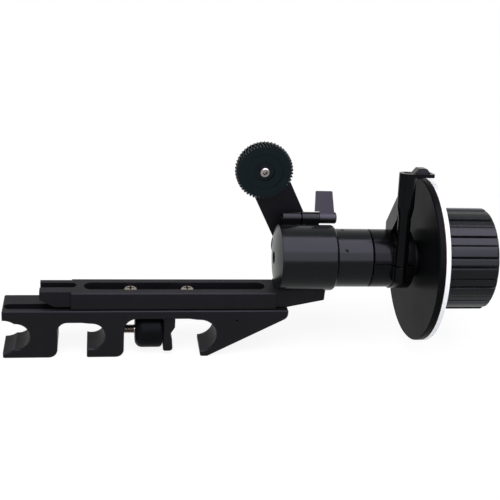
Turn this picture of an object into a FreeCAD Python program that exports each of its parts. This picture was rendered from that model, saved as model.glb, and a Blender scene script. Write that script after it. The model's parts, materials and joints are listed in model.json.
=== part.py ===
import FreeCAD, Part
import math
import os

# Follow focus unit, all sizes in millimetres.
# Origin: axis of the middle rod seat, at the middle of the rod bracket's depth.
# +X runs along the bracket towards the focus knob, +Y along the rods to the rear, +Z up.

V = FreeCAD.Vector
AXIS_X, AXIS_Y, AXIS_Z = V(1, 0, 0), V(0, 1, 0), V(0, 0, 1)

# ---- support rods and running clearances
rod_small_d = 15.0          # small support rods
rod_large_d = 19.0          # large support rods
rod_clear = 0.1             # radial room between rod and seat
run_clear = 0.05            # radial clearance of every turning or sliding fit
seat_clear = 0.02           # radial clearance of a seated, fixed fit
face_gap = 0.3              # axial room between faces that turn past each other
head_clear = 0.2            # radial room around a screw's head
hole_spare = 0.4            # depth of a screw's hole past the screw's end
lap = 0.1                   # overlap of two bodies that are joined into one

# ---- rod bracket
bracket_depth = 20.0
bracket_top = 15.4
bracket_bottom = -12.9
bracket_left = -46.8
bracket_right = 107.0
bracket_nose_z = 10.7       # height at which the right nose turns into the slope
bracket_nose_r = 4.0
bracket_edge = 0.5          # chamfer along the front and rear outline
seat_flare = 0.7            # each seat widens by this much where it meets a face
seat_left_x = -40.0         # small rod, left seat
seat_left_wide_x = -46.4    # large rod, left seat
seat_right_x = 58.4         # large rod, right seat
hook_left_x = -18.0         # right side of the left hook
hook_mid_x = 17.5           # right side of the middle hook
lip_mid_x = -2.4            # tip of the middle hook's lip
lip_right_x = 59.3          # tip of the right hook's lip
lip_mid_rise = 1.0          # top of the middle hook's lip, above its seat's lowest point
lip_right_rise = 1.6        # top of the right hook's lip, above its seat's lowest point
web_left_end = -5.0         # the left web's underside ends here, above the middle seat
web_right_end = 52.4        # the right web's underside ends here, above the right seat
web_left_z = 8.2            # underside of the web between the left and middle hooks
web_right_z = 10.4          # underside of the web between the middle and right hooks
web_left_r = 5.4
web_right_r = 7.0
hook_left_r = 4.8
hook_mid_r = 4.4
slope_foot_x = 63.4         # where the slope under the right end leaves the lip
groove_width = 6.3
groove_depth = 3.0
groove_y = -4.1             # the guide groove lies in front of the middle
groove_left = -45.9
groove_right = 101.0
witness_hole_x = 78.6       # small blind hole in the front face
witness_hole_z = 9.5
witness_hole_d = 1.2
witness_hole_depth = 3.0

# ---- rod clamp
clamp_z = -0.6
clamp_screw_d = 5.0
clamp_screw_left = 9.6      # end of the thread inside the hook
clamp_screw_chamfer = 0.5
clamp_knob_left = 23.5
clamp_knob_right = 38.5
clamp_knob_d = 20.4
clamp_knob_round = 4.0      # left edge
clamp_knob_back_round = 2.0 # right edge
clamp_shoe_left = 38.9
shoe_apex_t = 3.7           # the shoe's thickness at the bottom of the vee
shoe_face_t = 6.2           # above the vee
shoe_heel_t = 5.4           # and below it
clamp_vee_high = 4.4
clamp_vee_low = 3.0
clamp_shoe_depth = 17.0
clamp_shoe_low = -10.2
clamp_shoe_step = 0.6       # the lower face leans back by this much towards the vee
clamp_shoe_edge = 0.35
shoe_web_gap = 0.4          # room between the shoe and the web above it
clamp_pin_d = 4.0           # swivel tip of the screw, inside the shoe
clamp_tip_x = 41.3
clamp_groove_d = 2.6
clamp_groove_left = 40.1
clamp_groove_right = 41.0
clamp_tip_gap = 0.2         # room past the tip
shoe_pin_d = 0.9
shoe_pin_inset = 0.6        # the pins end this far inside the shoe's faces

# ---- slide bar
bar_left = -10.6
bar_right = 99.6
bar_top = 25.6
bar_depth = 17.8
bar_gap = 0.05              # sliding gap between bar and bracket
bar_edge = 0.6              # chamfer along the long edges
tongue_left = -27.3
tongue_depth = 14.6
tongue_bottom = 16.6
tongue_cut_x = 7.8          # length of the sloped cut under the tongue
tongue_cut_z = 4.5
tongue_lap = 2.0            # the tongue runs this far into the bar
tongue_slot_width = 6.0
tongue_slot_y = 1.2         # the slot lies this far behind the middle
tongue_slot_depth = 3.0
tongue_slot_right = -8.0
bar_slot_left = -4.1
bar_slot_right = 94.3
bar_slot_width = 8.8
bar_slot_depth = 4.2        # depth to the ledge that the screw heads bear on
bar_slot_inner = 4.5        # width of the through slot for the shanks
rail_left = -4.0            # guide rail under the bar
rail_right = 80.0
slide_screw_x = (20.8, 51.5)
slide_screw_d = 4.0
slide_head_d = 7.8
slide_head_h = 3.2
slide_screw_reach = 4.6     # thread in the bracket, below its top
cross_reach = 2.0           # cross recess of the pan heads: half length,
cross_half = 0.45           # half width
cross_depth = 1.4           # and depth

# ---- gearbox foot, the right end of the bar
foot_right = 126.9
foot_depth = 15.0
foot_low_left = 16.4
foot_low_right = 20.7
foot_slope_x = 106.4
foot_lap = 3.0              # the foot runs this far into the bar
foot_end_slope = 0.2        # the foot's end leans back by this much

# ---- gearbox, its axis lies along X
axis_z = 43.0
barrel_left = 100.3
barrel_right = 131.0
barrel_d = 36.0
barrel_bore_d = 29.0
barrel_round = 2.0
bearing_shoulder = 2.0      # step that each bearing's outer ring rests against
cap_left = 98.0             # crown of the domed end cap
cap_rim = 100.0
cap_inset = 0.3             # the cap's rim stands this far inside the barrel's outline
cap_journal_gap = 0.2       # room between the cap's spigot and the swing arm's journal
cap_hole_d = 6.8            # core diameter of an M8 thread
foot_screw_x = (107.5, 120.5)
foot_screw_d = 4.0
foot_head_d = 7.0
foot_head_h = 2.2
foot_screw_reach = 2.6
foot_seat_rise = 0.3        # the heads' seat is this far above the sloped underside
foot_socket = 2.5           # hexagon across its flats
foot_socket_floor = 0.8

# ---- clamp ring that carries the swing arm, its axis lies along Y
pivot_x = 114.3
ring_d = 29.6
ring_bore_d = 24.0
ring_front = 8.6
ring_rear = 19.5
ear_y = 15.0
ear_z = 60.5
ear_d = 6.4
ear_left = 103.8
ear_right = 124.2
ear_slit = 0.9
ear_slit_front = 11.2
ear_web = 9.0               # depth of the web that joins the ears to the ring
ring_edge = 0.5

# ---- lock lever
lever_right = 134.1
lever_bolt_d = 3.0
lever_length = 14.9         # from the hub's axis to the flag's end
lever_lean_back = 20.0      # degrees that the flag leans to the rear
lever_flag_left = 121.85
lever_lean = -0.3           # the flag's left edge leans this far to the left over its height
lever_taper = 1.57          # the flag's right edge leans further
lever_thick = 1.4
lever_forward = 2.2         # the flag's front lies this far in front of the hub's axis
lever_gap = 0.2             # room between the lever's hub and the ear
lever_flag_gap = 0.3        # room between the flag and the ear
lever_flag_inset = 1.43     # the flag ends this far inside the hub's end
lever_round = 0.7
lever_end_wall = 2.5        # the bolt's bore stops this far inside the hub's end
bolt_end_gap = 0.1
bolt_inset = 0.4            # the bolt's left end inside the ear
lock_nut_d = 5.0
lock_nut_len = 2.4          # depth of the nut's seat
lock_nut_inset = 0.2

# ---- swing arm, built upright and then tilted
arm_tilt = 26.9
arm_length = 50.2           # pivot axis to drive gear axis
arm_width = 21.4
arm_rear = 30.6
arm_split = 27.2            # plane between arm housing and rear cover
arm_wall = 2.0              # front wall
arm_side_wall = 2.2
arm_edge = 0.5
arm_journal_front = 11.6
journal_lip = 1.0           # lip in front of the journal's bearing
journal_room = 1.0          # radial room around the output shaft
cover_post_d = 6.0
cover_post_lap = 1.5        # the posts run this far into the front wall
cover_screw_places = (0.3, 0.5, 0.7)    # as shares of the arm's length
cover_screw_d = 2.5
cover_screw_end = 0.6       # end of the shank, behind the front wall
cover_head_d = 4.4
cover_head_sink = 1.5
cover_head_top = 0.2        # the heads stay this far below the cover's face
cover_socket = 1.5
cover_socket_depth = 0.8
cover_skin = 1.0            # wall behind the bushes in the cover
shaft_end_gap = 0.2
shaft_d = 6.0               # output shaft and gear shaft
bearing_small_d = 13.0
bearing_small_w = 5.0
bush_d = 9.0

# ---- belt drive inside the arm
pulley_d = 13.9
pulley_teeth = 18
belt_inner_d = 14.0
belt_thick = 1.1
belt_width = 3.8
flange_d = 16.2
flange_t = 0.4
flange_gap = 0.1            # room between the belt and each flange
flange_wall_gap = 0.4       # room between the pulley and the arm's front wall
pulley_notch_r = 0.5

# ---- drive gear
gear_module = 0.6
gear_teeth = 50
gear_front = 12.0
gear_rear = 18.6
gear_flange = 0.8
gear_flange_d = 29.8
gear_recess_d = 11.2
gear_recess_depth = 1.6
gear_backlash = 0.1
gear_boss_d = 12.0
gear_web = 1.4              # between the screw head's recess and the shaft's bore
gear_dish_d = 20.4          # shallow dish in the front face, around the recess
gear_dish_depth = 0.7
gear_screw_d = 3.0
gear_screw_len = 4.4
gear_screw_head_d = 5.4
gear_screw_head_h = 3.0
gear_screw_round = 0.8
gear_socket = 2.5
gear_socket_floor = 1.0

# ---- bevel gears, a pair at right angles
bevel_module = 0.75
bevel_teeth = 24
bevel_face = 4.0
bevel_backlash = 0.16
bevel_hub_d = 10.0
bevel_back = 0.4            # rim behind the teeth
bevel_root_lap = 0.3        # the teeth run this far into the blank
bevel_wall_gap = 0.6        # room between the input gear's hub and the gearbox wall
gearbox_wall = 3.0          # right wall of the gearbox
bearing_step = 1.5          # the left bearing's seat is this far past the barrel's end

# ---- neck tube
tube_d = 32.0
tube_right = 149.9
neck_wall = 2.1             # wall of the tube around the gearbox spigot
spigot_len = 10.0
journal_d = 26.0
journal_right = 173.4
bearing_d = 22.0
bearing_w = 7.0
bearing_bore_d = 8.0
tube_bore_d = 19.0
tube_edge = 0.3
spigot_gap = 0.5            # room past the spigot's end
ring_groove_d = 23.6
retainer_t = 1.0
retainer_clear = 0.1
retainer_end = 0.6          # the retaining ring's distance from the tube's end
retainer_reach = 1.4        # how far the ring covers the bearing
retainer_mouth = 4.0
set_screw_x = 135.0
set_screw_angles = (143.0, 84.0)
set_screw_d = 2.0
set_screw_sink = 0.4
set_socket_d = 1.6
set_socket_depth = 0.9

# ---- pointer carrier, built upright and then turned about the focus axis
carrier_turn = -10.8
collar_left = 150.5
collar_right = 173.0
collar_d = 32.0
collar_edge = 0.3
band_left = 162.6           # the collar is thicker from here on
band_d = 33.4
post_x = 164.4
post_y = -17.9
post_d = 9.2
post_waist_d = 6.9
post_waist_top = 26.0
post_taper = 6.0
post_top = 50.6
post_low = -9.0
lug_width = 8.0
lug_rear = -10.0
lug_low = -8.5
lug_high = 9.5
saw_cut = 0.8
saw_cut_past = 1.2          # the cut runs this far past the collar's bore
strut_width = 10.0
strut_thick = 6.0
strut_foot_y = 5.3
strut_foot_z = 19.6
strut_foot_depth = 8.0
strut_foot_slope = 0.4
strut_post_lap = 1.0        # the strut runs this far into the post
strut_collar_lap = 2.0      # and this far into the collar
carrier_screw_d = 2.5
carrier_head_d = 4.5
carrier_head_h = 2.5
carrier_head_seat = 9.0
carrier_screw_skin = 0.8    # wall below the screw's hole
carrier_socket = 2.0
carrier_socket_floor = 1.2
brim_right = 177.9
brim_thick = 1.9
brim_depth = 9.2
brim_round = 1.2
block_left = 167.5
block_right = 176.3
block_high = 2.6
block_slope = 2.2
block_inset = 0.6           # the block ends this far inside the brim's rear side
block_setback = 3.0         # and this far behind the brim's front side
block_screw_d = 2.0
block_screw_skin = 1.0      # wall above the screw's hole
block_head_d = 4.0
block_head_h = 1.2

# ---- focus disc, marking ring and focus knob
disc_left = 176.4
disc_t = 3.4
disc_d = 91.0
disc_edge = 0.6
ring_t = 2.6
marking_bore_d = 40.0
knob_gap = 0.2
knob_right = 216.3
knob_d = 56.6
knob_flutes = 15
knob_flute_width = 5.2
knob_flute_depth = 0.8
knob_round = 1.4
knob_phase = 16.4           # degrees from the rear up to the first groove
knob_floor = 4.0            # wall between the crank's socket and the hub
hub_d = 20.0
hub_left = 174.4
input_shaft_d = 8.0
input_shaft_left = 121.0
spacer_wall = 1.6
spacer_gap = 0.1            # room between a spacer and the bearing beside it
cap_disc_d = 40.0
cap_disc_t = 2.4
cap_disc_sink = 0.1
cap_disc_edge = 0.4
plate_screw_inset = 5.0     # from the plate's rim to its screws
plate_screw_angles = (90, 210, 330)
plate_screw_d = 2.5
plate_screw_reach = 6.0
plate_head_d = 4.4
plate_head_sink = 1.4
plate_head_top = 0.2
plate_socket = 1.5
plate_socket_depth = 0.7
socket_side = 7.0           # square socket for a crank or whip
socket_depth = 12.0
hub_screw_ring = 14.5       # radius of the circle of hub screws
hub_screw_angles = (30, 150, 270)
hub_screw_d = 3.0
hub_screw_reach = 6.0
hub_head_d = 5.4
hub_head_h = 2.0
hub_head_sink = 2.2
hub_socket = 2.0
hub_socket_floor = 0.8

# ---- values that follow from the ones above
rod_seat_r = rod_small_d / 2 + rod_clear
rod_seat_wide_r = rod_large_d / 2 + rod_clear
half_depth = bracket_depth / 2
bar_bottom = bracket_top + bar_gap
bar_ledge = bar_top - bar_slot_depth
arm_front = ring_rear + face_gap
belt_front = arm_front + arm_wall + flange_t + flange_wall_gap
disc_right = disc_left + disc_t
marking_right = disc_right + ring_t
knob_left = marking_right + knob_gap
bearing_left_x = barrel_right + bearing_step
bearing_right_x = journal_right - retainer_t - retainer_end - bearing_w
focus_axis = (0, 0, axis_z)
gearbox_wall_x = barrel_right - gearbox_wall
input_hub_end = gearbox_wall_x - bevel_wall_gap
hub_right = knob_right - socket_depth - knob_floor
cap_spigot_end = pivot_x - ring_bore_d / 2 - cap_journal_gap
block_mid = (block_left + block_right) / 2
block_y = post_y + (block_setback - block_inset) / 2
bearing_right_end = bearing_right_x + bearing_w
spigot_end = barrel_right + spigot_len
spigot_d = tube_d - 2 * neck_wall
shaft_rear = arm_rear - cover_skin - shaft_end_gap
gear_seat = gear_front + gear_recess_depth              # face that the gear screw's head bears on
gear_shaft_front = gear_seat + gear_web


# ---------------------------------------------------------------- small helpers

def box(x0, x1, y0, y1, z0, z1):
    return Part.makeBox(x1 - x0, y1 - y0, z1 - z0, V(x0, y0, z0))


def rod(axis, centre, radius, start, end):
    """Cylinder along a main axis; start and end are coordinates on that axis."""
    base = V(*centre)
    if axis == AXIS_X:
        base.x = start
    elif axis == AXIS_Y:
        base.y = start
    else:
        base.z = start
    return Part.makeCylinder(radius, end - start, base, axis)


def tube(axis, centre, outer, inner, start, end):
    return rod(axis, centre, outer, start, end).cut(rod(axis, centre, inner, start - 1, end + 1))


def fuse_all(shapes):
    joined = shapes[0]
    for shape in shapes[1:]:
        joined = joined.fuse(shape)
    return joined.removeSplitter()


def cut_all(shape, tools):
    for tool in tools:
        shape = shape.cut(tool)
    return shape


def rounded_outline(corners, to_point):
    """Closed wire through corners (u, v, radius), each corner rounded by its radius."""
    count = len(corners)
    tangents = []
    for i, (u, v, radius) in enumerate(corners):
        before, here, after = corners[i - 1], V(u, v, 0), corners[(i + 1) % count]
        back = (V(before[0], before[1], 0) - here).normalize()
        on = (V(after[0], after[1], 0) - here).normalize()
        if radius == 0:
            tangents.append((here, None, here))
            continue
        half = back.getAngle(on) / 2
        reach = radius / math.tan(half)
        bisector = (back + on).normalize()
        middle = here + bisector * (radius / math.sin(half) - radius)
        tangents.append((here + back * reach, middle, here + on * reach))
    edges = []
    for i, (enter, middle, leave) in enumerate(tangents):
        if middle is not None:
            edges.append(Part.Arc(to_point(enter), to_point(middle), to_point(leave)).toShape())
        start = tangents[(i + 1) % count][0]
        if (start - leave).Length > 1e-7:
            edges.append(Part.LineSegment(to_point(leave), to_point(start)).toShape())
    return Part.Wire(edges)


def plate_xz(corners, y0, y1):
    """Plate with an outline in X and Z, from y0 to y1."""
    wire = rounded_outline(corners, lambda p: V(p.x, y0, p.y))
    return Part.Face(wire).extrude(V(0, y1 - y0, 0))


def plate_yz(corners, x0, x1):
    """Plate with an outline in Y and Z, from x0 to x1."""
    wire = rounded_outline(corners, lambda p: V(x0, p.x, p.y))
    return Part.Face(wire).extrude(V(x1 - x0, 0, 0))


def slot_prism(x0, x1, y_mid, width, z0, z1):
    """Upright prism with round ends, its long way along X."""
    r = width / 2
    middle = box(x0 + r, x1 - r, y_mid - r, y_mid + r, z0, z1)
    ends = [rod(AXIS_Z, (x, y_mid, 0), r, z0, z1) for x in (x0 + r, x1 - r)]
    return fuse_all([middle] + ends)


def edges_on(shape, test):
    """Edges whose two ends and middle all pass the test."""
    found = []
    for edge in shape.Edges:
        points = [vertex.Point for vertex in edge.Vertexes]
        points.append(edge.valueAt((edge.FirstParameter + edge.LastParameter) / 2))
        if all(test(p) for p in points):
            found.append(edge)
    return found


def near(a, b):
    return abs(a - b) < 1e-4


def turned_about_x(profile):
    """Solid of revolution about the focus axis from (x, radius) corners."""
    points = [V(x, 0, axis_z + radius) for x, radius in profile]
    face = Part.Face(Part.makePolygon(points + [points[0]]))
    return face.revolve(V(0, 0, axis_z), AXIS_X, 360)


def hex_prism(axis, centre, across, start, end):
    """Hexagon socket tool along a main axis."""
    r = across / math.sqrt(3)
    corners = []
    for k in range(6):
        a = math.radians(60 * k)
        u, w = r * math.cos(a), r * math.sin(a)
        if axis == AXIS_X:
            corners.append(V(start, centre[1] + u, centre[2] + w))
        elif axis == AXIS_Y:
            corners.append(V(centre[0] + u, start, centre[2] + w))
        else:
            corners.append(V(centre[0] + u, centre[1] + w, start))
    return Part.Face(Part.makePolygon(corners + [corners[0]])).extrude(axis * (end - start))


def on_arm(shape):
    """Carry a piece built at the origin to the tilted arm on the pivot."""
    moved = shape.copy()
    moved.rotate(V(0, 0, 0), AXIS_Y, -arm_tilt)
    moved.translate(V(pivot_x, 0, axis_z))
    return moved


def on_carrier(shape):
    """Turn a piece built upright about the focus axis, with the pointer carrier."""
    moved = shape.copy()
    moved.rotate(V(0, 0, axis_z), AXIS_X, carrier_turn)
    return moved


# ---------------------------------------------------------------- rod bracket and clamp

def rod_bracket():
    low, high = bracket_bottom, bracket_top
    wide_r, small_r = rod_seat_wide_r, rod_seat_r
    lip_right, lip_mid = lip_right_rise - wide_r, lip_mid_rise - small_r
    outline = [
        (bracket_left, high, 1.0), (bracket_right, high, 0.8),
        (bracket_right, bracket_nose_z, bracket_nose_r), (slope_foot_x, low, 2.0),
        (lip_right_x, low, 1.2), (lip_right_x, lip_right, 0), (seat_right_x, lip_right, 0),
        (seat_right_x, wide_r, 0), (web_right_end, web_right_z, 0),
        (hook_mid_x, web_right_z, web_right_r), (hook_mid_x, low, hook_mid_r),
        (lip_mid_x, low, 0.8), (lip_mid_x, lip_mid, 0), (0, lip_mid, 0),
        (0, small_r, 0), (web_left_end, web_left_z, 0),
        (hook_left_x, web_left_z, web_left_r), (hook_left_x, low, hook_left_r),
        (bracket_left, low, 0.8)]
    plate = plate_xz(outline, -half_depth, half_depth)
    rim = edges_on(plate, lambda p: near(abs(p.y), half_depth))
    plate = plate.makeChamfer(bracket_edge, rim)
    seats = [(seat_left_x, small_r), (seat_left_wide_x, wide_r), (0, small_r), (seat_right_x, wide_r)]
    tools = [rod_seat_tool(x, r) for x, r in seats]
    tools.append(slot_prism(groove_left, groove_right, groove_y, groove_width,
                            high - groove_depth, high + 1))
    for x in slide_screw_x:
        tools.append(rod(AXIS_Z, (x, 0, 0), slide_screw_d / 2 + seat_clear, web_left_z, high + 1))
    tools.append(rod(AXIS_X, (0, 0, clamp_z), clamp_screw_d / 2 + run_clear, 0, hook_mid_x + 1))
    tools.append(rod(AXIS_Y, (witness_hole_x, 0, witness_hole_z), witness_hole_d / 2,
                     -half_depth - 1, -half_depth + witness_hole_depth))
    return cut_all(plate, tools)


def rod_seat_tool(x, radius):
    """Cylinder for one rod seat, flared where it meets the front and rear faces."""
    body = rod(AXIS_Y, (x, 0, 0), radius, -half_depth - 1, half_depth + 1)
    front = Part.makeCone(radius + seat_flare, radius, seat_flare, V(x, -half_depth, 0), AXIS_Y)
    rear = Part.makeCone(radius, radius + seat_flare, seat_flare, V(x, half_depth - seat_flare, 0), AXIS_Y)
    return fuse_all([body, front, rear])


def clamp_screw():
    """Screw with a grooved swivel tip that turns inside the shoe."""
    centre = (0, 0, clamp_z)
    shank = rod(AXIS_X, centre, clamp_screw_d / 2, clamp_screw_left, clamp_knob_right)
    shank = shank.makeChamfer(clamp_screw_chamfer, edges_on(shank, lambda p: near(p.x, clamp_screw_left)))
    tip = rod(AXIS_X, centre, clamp_pin_d / 2, clamp_knob_right - lap, clamp_tip_x)
    groove = tube(AXIS_X, centre, clamp_pin_d, clamp_groove_d / 2, clamp_groove_left, clamp_groove_right)
    return fuse_all([shank, tip]).cut(groove)


def clamp_knob():
    centre = (0, 0, clamp_z)
    body = rod(AXIS_X, centre, clamp_knob_d / 2, clamp_knob_left, clamp_knob_right)
    body = body.makeFillet(clamp_knob_round, edges_on(body, lambda p: near(p.x, clamp_knob_left)))
    body = body.makeFillet(clamp_knob_back_round, edges_on(body, lambda p: near(p.x, clamp_knob_right)))
    bore = rod(AXIS_X, centre, clamp_screw_d / 2 + seat_clear, clamp_knob_left - 1, clamp_knob_right + 1)
    return body.cut(bore)


def shoe_pins():
    """Two cross pins in the shoe that ride in the groove of the screw's tip."""
    pins = [rod(AXIS_Y, (x, 0, z), shoe_pin_d / 2, -half, half) for x, z, half in shoe_pin_places()]
    return Part.makeCompound(pins)


def shoe_pin_places():
    x = (clamp_groove_left + clamp_groove_right) / 2
    reach = clamp_groove_d / 2 + run_clear + shoe_pin_d / 2
    half = clamp_shoe_depth / 2 - shoe_pin_inset
    return [(x, clamp_z - reach, half), (x, clamp_z + reach, half)]


def clamp_shoe():
    top = web_right_z - shoe_web_gap
    apex, face, heel = [clamp_shoe_left + t for t in (shoe_apex_t, shoe_face_t, shoe_heel_t)]
    outline = [
        (clamp_shoe_left, clamp_shoe_low, 1.2), (heel, clamp_shoe_low, 1.8),
        (heel - clamp_shoe_step, -clamp_vee_low, 0.6), (apex, 0, 0.5),
        (face, clamp_vee_high, 0.6), (face, top, 0.8), (clamp_shoe_left, top, 0.8)]
    body = plate_xz(outline, -clamp_shoe_depth / 2, clamp_shoe_depth / 2)
    rim = edges_on(body, lambda p: near(abs(p.y), clamp_shoe_depth / 2))
    body = body.makeChamfer(clamp_shoe_edge, rim)
    tools = [rod(AXIS_X, (0, 0, clamp_z), clamp_pin_d / 2 + run_clear,
                 clamp_shoe_left - 1, clamp_tip_x + clamp_tip_gap)]
    for x, z, half in shoe_pin_places():
        tools.append(rod(AXIS_Y, (x, 0, z), shoe_pin_d / 2 + seat_clear, -half, clamp_shoe_depth))
    return cut_all(body, tools)


# ---------------------------------------------------------------- slide bar

def slide_bar():
    side = bar_depth / 2
    main = box(bar_left, bar_right, -side, side, bar_bottom, bar_top)
    main = main.makeChamfer(bar_edge, edges_on(
        main, lambda p: near(abs(p.y), side) and (near(p.z, bar_top) or near(p.z, bar_bottom))))
    tongue_right = bar_left + tongue_lap
    tongue_outline = [
        (tongue_left, bar_top, 0), (tongue_right, bar_top, 0), (tongue_right, tongue_bottom, 0),
        (tongue_left + tongue_cut_x, tongue_bottom, 0.6), (tongue_left, tongue_bottom + tongue_cut_z, 0.6)]
    tongue = plate_xz(tongue_outline, -tongue_depth / 2, tongue_depth / 2)
    rail = slot_prism(rail_left, rail_right, groove_y, groove_width - 4 * run_clear,
                      bracket_top - groove_depth + face_gap, bar_bottom + 1)
    bar = fuse_all([main, tongue, gearbox_foot(), rail])
    saddle = rod(AXIS_X, focus_axis, barrel_d / 2 + seat_clear, bar_right, foot_right + 2)
    ledge_slot = slot_prism(bar_slot_left, bar_slot_right, 0, bar_slot_width, bar_ledge, bar_top + 1)
    spare = (bar_slot_width - bar_slot_inner) / 2
    through_slot = slot_prism(bar_slot_left + spare, bar_slot_right - spare, 0, bar_slot_inner,
                              0, bar_top + 1)
    tongue_slot = slot_prism(tongue_left - 5, tongue_slot_right, tongue_slot_y, tongue_slot_width,
                             bar_top - tongue_slot_depth, bar_top + 1)
    screw_tools = []
    for x in foot_screw_x:
        seat = foot_head_seat()
        screw_tools.append(rod(AXIS_Z, (x, 0, 0), foot_screw_d / 2 + run_clear, 0, axis_z))
        screw_tools.append(rod(AXIS_Z, (x, 0, 0), foot_head_d / 2 + head_clear, 0, seat))
    return cut_all(bar, [saddle, ledge_slot, through_slot, tongue_slot] + screw_tools)


def gearbox_foot():
    # the foot's top edge lies where its sides meet the barrel
    top = axis_z - math.sqrt((barrel_d / 2) ** 2 - (foot_depth / 2) ** 2) + lap
    left = bar_right - foot_lap
    outline = [
        (left, top, 0), (foot_right, top, 0.4), (foot_right - foot_end_slope, foot_low_right, 0.4),
        (foot_slope_x, foot_low_left, 1.0), (left, foot_low_left, 0)]
    foot = plate_xz(outline, -foot_depth / 2, foot_depth / 2)
    return foot.cut(box(left - 1, bar_right, -foot_depth, foot_depth, bar_top, axis_z))


def foot_head_seat():
    """Height of the seat that the foot screws' heads bear on, above the sloped underside."""
    slope = (foot_low_right - foot_low_left) / (foot_right - foot_slope_x)
    lowest = foot_low_left + slope * (foot_screw_x[1] + foot_head_d / 2 - foot_slope_x)
    return lowest + foot_seat_rise


def pan_screws(positions, seat_z, shank_end, shank_d, head_d, head_h):
    screws = []
    for x in positions:
        head = rod(AXIS_Z, (x, 0, 0), head_d / 2, seat_z, seat_z + head_h)
        head = head.makeFillet(head_h * 0.55, edges_on(head, lambda p: near(p.z, seat_z + head_h)))
        shank = rod(AXIS_Z, (x, 0, 0), shank_d / 2, shank_end, seat_z + lap)
        floor, above = seat_z + head_h - cross_depth, seat_z + head_h + 1
        cross = [box(x - cross_reach, x + cross_reach, -cross_half, cross_half, floor, above),
                 box(x - cross_half, x + cross_half, -cross_reach, cross_reach, floor, above)]
        screws.append(cut_all(fuse_all([head, shank]), cross))
    return Part.makeCompound(screws)


def slide_screws():
    end = bracket_top - slide_screw_reach
    return pan_screws(slide_screw_x, bar_ledge, end, slide_screw_d, slide_head_d, slide_head_h)


def foot_screws():
    screws = []
    seat = foot_head_seat()
    barrel_low = axis_z - barrel_d / 2
    for x in foot_screw_x:
        head = rod(AXIS_Z, (x, 0, 0), foot_head_d / 2, seat - foot_head_h, seat)
        shank = rod(AXIS_Z, (x, 0, 0), foot_screw_d / 2, seat - lap, barrel_low + foot_screw_reach)
        socket = hex_prism(AXIS_Z, (x, 0, 0), foot_socket, seat - foot_head_h - 1, seat - foot_socket_floor)
        screws.append(fuse_all([head, shank]).cut(socket))
    return Part.makeCompound(screws)


# ---------------------------------------------------------------- gearbox

def gearbox_housing():
    r = barrel_d / 2
    barrel = rod(AXIS_X, focus_axis, r, barrel_left, barrel_right)
    barrel = barrel.makeFillet(barrel_round, edges_on(barrel, lambda p: near(p.x, barrel_right)))
    spigot = rod(AXIS_X, focus_axis, spigot_d / 2, barrel_right - 1, spigot_end)
    ring = rod(AXIS_Y, (pivot_x, 0, axis_z), ring_d / 2, ring_front, ring_rear)
    ring = ring.makeChamfer(ring_edge, edges_on(ring, lambda p: near(p.y, ring_rear)))
    ear = rod(AXIS_X, (0, ear_y, ear_z), ear_d / 2, ear_left, ear_right)
    web = box(ear_left, ear_right, ear_y - ear_d / 2, ear_y + ear_d / 2, ear_z - ear_web, ear_z)
    body = fuse_all([barrel, spigot, ring, ear, web])
    tools = [
        rod(AXIS_X, focus_axis, barrel_bore_d / 2, barrel_left - 1, gearbox_wall_x),
        rod(AXIS_X, focus_axis, bearing_d / 2 + seat_clear, bearing_left_x, spigot_end + 1),
        rod(AXIS_X, focus_axis, bearing_d / 2 - bearing_shoulder, gearbox_wall_x - 1, spigot_end + 1),
        rod(AXIS_Y, (pivot_x, 0, axis_z), ring_bore_d / 2, 0, ring_rear + 1),
        box(pivot_x - ear_slit / 2, pivot_x + ear_slit / 2, ear_slit_front, ring_rear + 1,
            axis_z + ring_bore_d / 2 - 1, ear_z + ear_d),
        rod(AXIS_X, (0, ear_y, ear_z), lever_bolt_d / 2 + run_clear, ear_left - 1, ear_right + 1),
        rod(AXIS_X, (0, ear_y, ear_z), lock_nut_d / 2 + seat_clear, ear_left - 1, ear_left + lock_nut_len)]
    tools.append(rod(AXIS_X, focus_axis, barrel_d / 2, cap_left - 2, barrel_left))
    for x in foot_screw_x:
        tools.append(rod(AXIS_Z, (x, 0, 0), foot_screw_d / 2 + seat_clear, 0, axis_z))
    return cut_all(body, tools)


def gearbox_end_cap():
    rim_r = barrel_d / 2 - cap_inset
    sag = cap_rim - cap_left
    sphere_r = (rim_r ** 2 + sag ** 2) / (2 * sag)
    dome = Part.makeSphere(sphere_r, V(cap_left + sphere_r, 0, axis_z))
    disc = rod(AXIS_X, focus_axis, rim_r, cap_left - 1, barrel_left).common(dome)
    spigot = rod(AXIS_X, focus_axis, barrel_bore_d / 2 - seat_clear, barrel_left - lap, cap_spigot_end)
    hole = rod(AXIS_X, focus_axis, cap_hole_d / 2, cap_left - 2, cap_spigot_end + 1)
    return fuse_all([disc, spigot]).cut(hole)


def ball_bearing(axis, centre, outer, bore, start, end):
    """Inner ring, outer ring and shields as one closed solid with grooved faces."""
    body = tube(axis, centre, outer, bore, start, end)
    mid = (outer + bore) / 2
    groove = (outer - bore) * 0.18      # half the shield's width
    depth = (end - start) * 0.05
    for a, b in ((start - 1, start + depth), (end - depth, end + 1)):
        body = body.cut(tube(axis, centre, mid + groove, mid - groove, a, b))
    return body


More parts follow.
